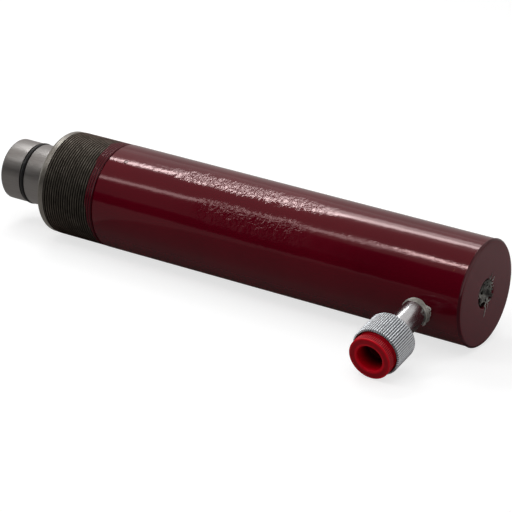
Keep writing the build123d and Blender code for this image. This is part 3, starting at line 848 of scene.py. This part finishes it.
def ribbon(seed, start, end, width, wander, thick=0.12):
    """A crumpled ribbon of tape from start to end, in millimetres of X, Y and Z.

    Its middle line bows and wanders, it twists as it goes, and its section is a thin rectangle.
    """
    rng = np.random.default_rng(seed)
    s = np.linspace(0, 1, RIBBON_ROWS)
    middle = np.outer(1 - s, start) + np.outer(s, end)
    for k in range(1, 5):
        bow = rng.normal(size=3) * wander / k
        middle += np.outer(np.sin(math.pi * k * s), bow)
    twist = rng.uniform(0, TURN) + np.cumsum(rng.normal(size=RIBBON_ROWS)) * 0.35
    side = np.stack([0.35 * np.sin(twist), np.cos(twist), np.sin(twist)], -1)
    normal = np.cross(np.gradient(middle, axis=0), side)
    normal /= np.linalg.norm(normal, axis=1)[:, None] + 1e-9
    taper = (width / 2 * (0.35 + 0.65 * np.sin(math.pi * np.clip(s * 0.9 + 0.05, 0, 1))))[:, None]
    return np.stack([
        middle + side * taper + normal * thick / 2, middle - side * taper + normal * thick / 2,
        middle - side * taper - normal * thick / 2, middle + side * taper - normal * thick / 2,
    ], 1)


def base_hole_shreds():
    """Shreds of old tape that fill the base hole, some lying out on the face."""
    rng = np.random.default_rng(SHRED_SEED)
    strips = []
    for k in range(SHRED_COUNT):
        a = rng.uniform(0, TURN)
        b = a + rng.uniform(0.5, 2.4)
        depth = rng.uniform(0.2, 2.8)
        r1, r2 = rng.uniform(2.6, 6.9, 2)
        start = (-depth, -r1 * math.cos(a), r1 * math.sin(a))
        end = (-depth * rng.uniform(0.2, 1.0), -r2 * math.cos(b), r2 * math.sin(b))
        strips.append(ribbon(100 + k, start, end, rng.uniform(0.5, 1.5), 0.6))
    # Loose shreds as start, end and width.
    loose = [
        ((-0.6, 2.0, 6.0), (0.14, 4.0, 9.4), 0.8), ((-0.5, 0.2, 6.2), (0.12, 1.4, 8.4), 0.9),
        ((-0.5, 3.6, 5.2), (0.14, 6.4, 6.9), 0.8), ((-0.5, -0.4, -6.0), (0.14, -1.1, -10.2), 1.0),
        ((0.05, -1.0, -9.6), (0.14, -1.9, -12.2), 0.7), ((-0.5, 1.8, -6.0), (0.12, 1.2, -8.9), 0.8),
    ]
    for k, (start, end, width) in enumerate(loose):
        strips.append(ribbon(300 + k, start, end, width, 0.25, 0.12))
    for strip in strips:
        strip[:, :, 1] += SHRED_SHIFT
        out = np.hypot(strip[:, :, 1], strip[:, :, 2]) > BASE_HOLE_R - 0.4
        strip[:, :, 0] = np.where(out, 0.1 + 0.04 * strip[:, :, 0], np.minimum(strip[:, :, 0], 0.2))
    return joined_strips("base_hole_shreds", [], strips, 50.0)


RED_ENAMEL = red_enamel()
# Ground and lightly worn chrome: satin grey with faint lines along the rod.
GROUND_CHROME = steel("ground_chrome", "#A19F9D", "#949290", 0.4, 0.03, 0.25, (40, 1, 1), 0.2)
# Bare turned steel, bright, with fine turning lines round it.
BARE_STEEL = steel("bare_turned_steel", "#A19E97", "#87847D", 0.38, 0.05, 0.2, (1, 12, 12))
# Zinc plate with a clear blue passivate: cool and bright, with painted shade and dirt in the knurl's
# grooves.
ZINC = steel("blue_zinc_plate", "#CCD2D6", "#C2C8CD", 0.28, 0.02, 0.3, (1, 10, 10), 0.1,
             "#15181B")
# Nickel plate: the brightest metal on the ram, almost a mirror.
NICKEL = steel("bright_nickel", "#CFD2D4", "#C2C5C7", 0.2, 0.02, 0.3, (1, 8, 8), 0.15)
# Oiled spring wire: dark and dull.
SPRING_STEEL = steel("oiled_spring_steel", "#5A5A60", "#35353A", 0.4, 0.06, 0.3, (1, 1, 1))
# Polished bearing ball.
BALL_STEEL = steel("bearing_steel", "#C8C8CC", "#B0B0B6", 0.12, 0.03, 0.5, (1, 1, 1))
# Turned bronze bush and wear ring: warm brown-gold.
BRONZE = steel("turned_bronze", "#B08A50", "#7E5C30", 0.36, 0.06, 0.25, (1, 10, 10))
# Black nitrile rubber: dull, with a soft sheen.
NITRILE = plain("nitrile_rubber", "#111113", "#080809", 0.45, 0.25, 0.01)
# Moulded polyurethane seal: grey-blue.
URETHANE = plain("polyurethane", "#3C5A66", "#2C444E", 0.4, 0.4, 0.01)
# Sealing tape, off-white and a little dirty: matt, with fine creases.
TAPE = plain("ptfe_tape", "#DCD8D0", "#8A857C", 0.6, 0.35, 0.22)
# The same tape, old and oily, in the base hole.
DIRTY_TAPE = plain("dirty_ptfe_tape", "#C4C3BB", "#34342F", 0.6, 0.4, 0.1)
# Moulded polyethylene in a strong red, with a soft shine that is tinted to keep it crimson, and
# painted shade in its hole, neck and rib valleys.
RED_PLASTIC = plain("red_polyethylene", "#DA001C", "#CE001B", 0.42, 0.5, 0.006, groove="#300004",
                    Specular_Tint=(1.0, 0.2, 0.25, 1.0))


def dress(piece, material):
    """Give a piece one material."""
    piece.data.materials.clear()
    piece.data.materials.append(material)
    return piece


def place(piece, body, material, slot, *replaced):
    """Material, body and the nodes that a new piece stands for. The slot argument is not used."""
    dress(piece, material)
    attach(piece, body)
    if replaced:
        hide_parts(*replaced)
    return piece


place(barrel_body(), "barrel", RED_ENAMEL, "red_enamel", "barrel")
place(plunger_rod(), "plunger", GROUND_CHROME, "chromed_steel", "plunger")
RING_MEAN_R = RING_GROOVE_R + RING_WIRE_R
ring = wire_loop("plunger_grip_ring", RAM, RING_MEAN_R, RING_WIRE_R, RING_STATION, PLUNGER_STEPS)
place(ring, "plunger", NITRILE, "black_rubber", "plunger_ring")
place(coupler_nipple(), "barrel", NICKEL, "nickel_plate", "coupler_body")
place(knurled_collar(), "collar", ZINC, "zinc_plate", "coupler_collar")
place(dust_plug(), "dust_plug", RED_PLASTIC, "red_plastic", "dust_plug")
place(sealing_tape(), "barrel", TAPE, "white_ptfe", "port_seal_tape")
place(base_hole_shreds(), "barrel", DIRTY_TAPE, "white_ptfe")

SPRING_ENDS = (SPRING_START, SPRING_END)
spring = coil_spring("return_coil", RAM, SPRING_MEAN_R, SPRING_WIRE_R, SPRING_ENDS, SPRING_TURNS)
place(spring, "barrel", SPRING_STEEL, "spring_steel", "return_spring")
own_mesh(spring)

check = coil_spring("check_coil", COUPLER, CHECK_SPRING_R, CHECK_WIRE_R, CHECK_SPRING, CHECK_TURNS)
place(check, "barrel", SPRING_STEEL, "spring_steel", "check_spring")
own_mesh(check)

NODE_FINISHES = {
    "gland_nut": BARE_STEEL, "gland_bush": BRONZE, "rod_wiper": NITRILE,
    "piston_head": BARE_STEEL, "piston_cup_seal": URETHANE, "piston_backup_ring": TAPE,
    "piston_guide_ring": BRONZE, "spring_tie_rod": BARE_STEEL, "tie_rod_seal_tape": TAPE,
    "spring_washer": BARE_STEEL, "tie_rod_nut": ZINC, "valve_seat": NICKEL,
    "socket_o_ring": NITRILE, "check_ball": BALL_STEEL, "collar_circlip": SPRING_STEEL,
}
for node_name, finish in NODE_FINISHES.items():
    dress(nodes[node_name], finish)


def seen_white(tree):
    """1 for camera, glossy and transmission rays, 0 for the light that falls on things."""
    path = add(tree, "ShaderNodeLightPath")
    first = add(tree, "ShaderNodeMath", operation="MAXIMUM", links={
        0: path.outputs["Is Camera Ray"], 1: path.outputs["Is Glossy Ray"]})
    return add(tree, "ShaderNodeMath", operation="MAXIMUM", links={
        0: first.outputs[0], 1: path.outputs["Is Transmission Ray"]})


def flat_card(name, corners, material):
    """A flat four-cornered card of the studio, corners in metres."""
    mesh = bpy.data.meshes.new(name)
    mesh.from_pydata(corners, [], [(0, 1, 2, 3)])
    card = bpy.data.objects.new(name, mesh)
    bpy.context.scene.collection.objects.link(card)
    card.data.materials.append(material)
    return card


def pale_floor():
    """Pale floor that keeps the object's shadow, lifted to white where nothing shades it."""
    material, tree = new_material("pale_floor")
    seen = seen_white(tree)
    paper = add(tree, "ShaderNodeBsdfDiffuse", {"Color": linear("#ABABAB")})
    lift = add(tree, "ShaderNodeMath", {1: FLOOR_LIFT}, {0: seen.outputs[0]}, operation="MULTIPLY")
    glow = add(tree, "ShaderNodeEmission", {"Color": (1, 1, 1, 1)}, {"Strength": lift.outputs[0]})
    both = add(tree, "ShaderNodeAddShader", links={0: paper.outputs[0], 1: glow.outputs[0]})
    add(tree, "ShaderNodeOutputMaterial", links={"Surface": both.outputs[0]})
    return flat_card("floor", level_corners((-6, 6), (-6, 6), FLOOR), material)


def level_corners(span_x, span_y, height):
    """Corners of a level rectangle."""
    low_x, high_x = span_x
    low_y, high_y = span_y
    return [(low_x, low_y, height), (high_x, low_y, height), (high_x, high_y, height),
            (low_x, high_y, height)]


def card_material(name, first, last, axis, span):
    """A glowing card whose colour runs from first to last over a span of X or Y, in metres."""
    material, tree = new_material(name)
    coords = add(tree, "ShaderNodeTexCoord")
    parts = add(tree, "ShaderNodeSeparateXYZ", links={0: coords.outputs["Object"]})
    colour = between(tree, parts.outputs[axis], *span, first, last)
    glow = add(tree, "ShaderNodeEmission", {"Strength": 1.0}, {"Color": colour.outputs[COLOUR_OUT]})
    add(tree, "ShaderNodeOutputMaterial", links={"Surface": glow.outputs[0]})
    return material


def only_in_gloss(card):
    """Hide a card from everything but reflections, as one that stands out of shot."""
    card.visible_camera = False
    card.visible_diffuse = False
    card.visible_shadow = False
    card.visible_transmission = False
    return card


def band(name, angles, distance, near, far=None, span=(-1.0, -0.72)):
    """A card along the ram between two angles round it, at a distance from its axis.

    Its colour is near beside the ram's base and runs to far beside the plunger over a span of X.
    """
    low, high = angles
    low_x, high_x = CARD_SPAN
    places = [(low, low_x), (low, high_x), (high, high_x), (high, low_x)]
    corners = [round_ram(degrees, distance, x) for degrees, x in places]
    material = card_material(name, far or near, near, 0, span)
    return only_in_gloss(flat_card(name, corners, material))


def board(name, span_x, span_y, first, last, span=(-0.02, 0.12), rise=1):
    """A card that lies just above the floor, from first to last colour away from the camera."""
    corners = level_corners(span_x, span_y, FLOOR + rise * BOARD_RISE)
    return only_in_gloss(flat_card(name, corners, card_material(name, first, last, 1, span)))


def studio():
    """World, floor, reflected cards and soft lamps."""
    world = bpy.data.worlds.new("studio")
    bpy.context.scene.world = world
    world.use_nodes = True
    tree = world.node_tree
    tree.nodes.clear()
    seen = seen_white(tree)
    strength = add(tree, "ShaderNodeMapRange", {"To Min": WORLD_LIGHT, "To Max": 1.0},
                   {"Value": seen.outputs[0]})
    light = add(tree, "ShaderNodeBackground", {"Color": (1, 1, 1, 1)},
                {"Strength": strength.outputs[0]})
    add(tree, "ShaderNodeOutputWorld", links={"Surface": light.outputs[0]})
    pale_floor()
    band("front_flag", (-10, 18), 1.4, "#040404")
    band("front_haze", (18, 50), 1.4, "#040404", "#827E7C")
    band("ceiling_card", (50, 104), 1.3, "#B0A8A4")
    band("wall_card", (104, 146), 1.4, "#E8E2E0", "#8A8684", (-1.24, -1.16))
    band("low_wall_card", (146, 186), 1.4, "#BAB4B2")
    board("front_board", (-0.235, -0.01), (-2.5, 0.03), "#706C6A", "#706C6A")
    board("far_front_board", (CARD_SPAN[0], -0.235), (-2.5, 0.03), "#94908E", "#94908E")
    board("back_board", (CARD_SPAN[0], -0.01), (0.03, 2.5), "#B2AEAC", "#B2AEAC")
    # This board is a painted shadow: it darkens towards the ram, where the floor lies in the ram's
    # shadow, and only reflections see it.
    board("contact_shadow_board", (-0.253, 0.002), (-0.036, 0.05), "#706C6A", "#38302E", (-0.03, -0.014), 2)
    board("side_board", (-0.01, CARD_SPAN[1]), (-2.5, 2.5), "#72686A", "#A89C9C")


def lamp(name, stand, aim, size, power):
    """A soft square lamp at one point, facing another."""
    data = bpy.data.lights.new(name, "AREA")
    data.energy = power
    data.size = size
    thing = bpy.data.objects.new(name, data)
    bpy.context.scene.collection.objects.link(thing)
    thing.location = stand
    thing.rotation_euler = (Vector(aim) - Vector(stand)).to_track_quat("-Z", "Y").to_euler()
    return thing


def strip(name, start, end, width, strength):
    """A long narrow lamp facing the ram, between two points given as angle round it and X."""
    first = Vector(round_ram(start[0], STRIP_DISTANCE, start[1]))
    last = Vector(round_ram(end[0], STRIP_DISTANCE, end[1]))
    centre = (first + last) / 2
    along = (last - first).normalized()
    facing = (Vector((centre.x, 0, 0)) - centre).normalized()
    facing = (facing - along * facing.dot(along)).normalized()
    side = facing.cross(along)
    data = bpy.data.lights.new(name, "AREA")
    data.shape = "RECTANGLE"
    data.size = width
    data.size_y = (last - first).length
    data.energy = strength * width * data.size_y * math.pi
    thing = bpy.data.objects.new(name, data)
    bpy.context.scene.collection.objects.link(thing)
    turn = Matrix((side * -1, along, facing * -1)).transposed().to_4x4()
    thing.matrix_world = Matrix.Translation(centre) @ turn
    return thing


def round_ram(angle, distance, x):
    """Point at an angle in degrees round the ram and a distance from its axis, in metres."""
    rad = math.radians(angle)
    return (x, -distance * math.cos(rad), distance * math.sin(rad))


def set_camera():
    """Camera at the photograph's place, rolled as the photograph is."""
    data = bpy.data.cameras.new("camera")
    data.lens = CAMERA_LENS
    data.sensor_width = 36.0
    thing = bpy.data.objects.new("camera", data)
    bpy.context.scene.collection.objects.link(thing)
    ahead = (CAMERA_AIM - CAMERA_PLACE).normalized()
    level = ahead.cross(Vector((0, 0, 1))).normalized()
    upright = level.cross(ahead)
    right = level * math.cos(CAMERA_ROLL) + upright * math.sin(CAMERA_ROLL)
    up = right.cross(ahead)
    turn = Matrix((right, up, -ahead)).transposed().to_4x4()
    thing.matrix_world = Matrix.Translation(CAMERA_PLACE) @ turn
    bpy.context.scene.camera = thing


studio()
# Each strip has its angle round the ram and its X at either end, its width in metres and its power.
strip("upper_strip", (119.4, -0.38), (100.3, -0.80), 0.10, 8.8)
strip("upper_far", (112.5, -0.53), (100.3, -0.80), 0.06, 11.0)
strip("upper_glow", (128.0, -0.36), (113.0, -0.70), 0.13, 3.0)
strip("lower_strip", (66.0, -0.38), (49.0, -0.87), 0.08, 4.2)
strip("lower_core", (65.6, -0.38), (64.4, -0.452), 0.045, 24.0)
lamp("overhead", (-0.1, -0.35, 1.25), (-0.12, 0, 0), 1.2, 6.5)
set_camera()
bpy.context.scene.view_settings.view_transform = "Standard"
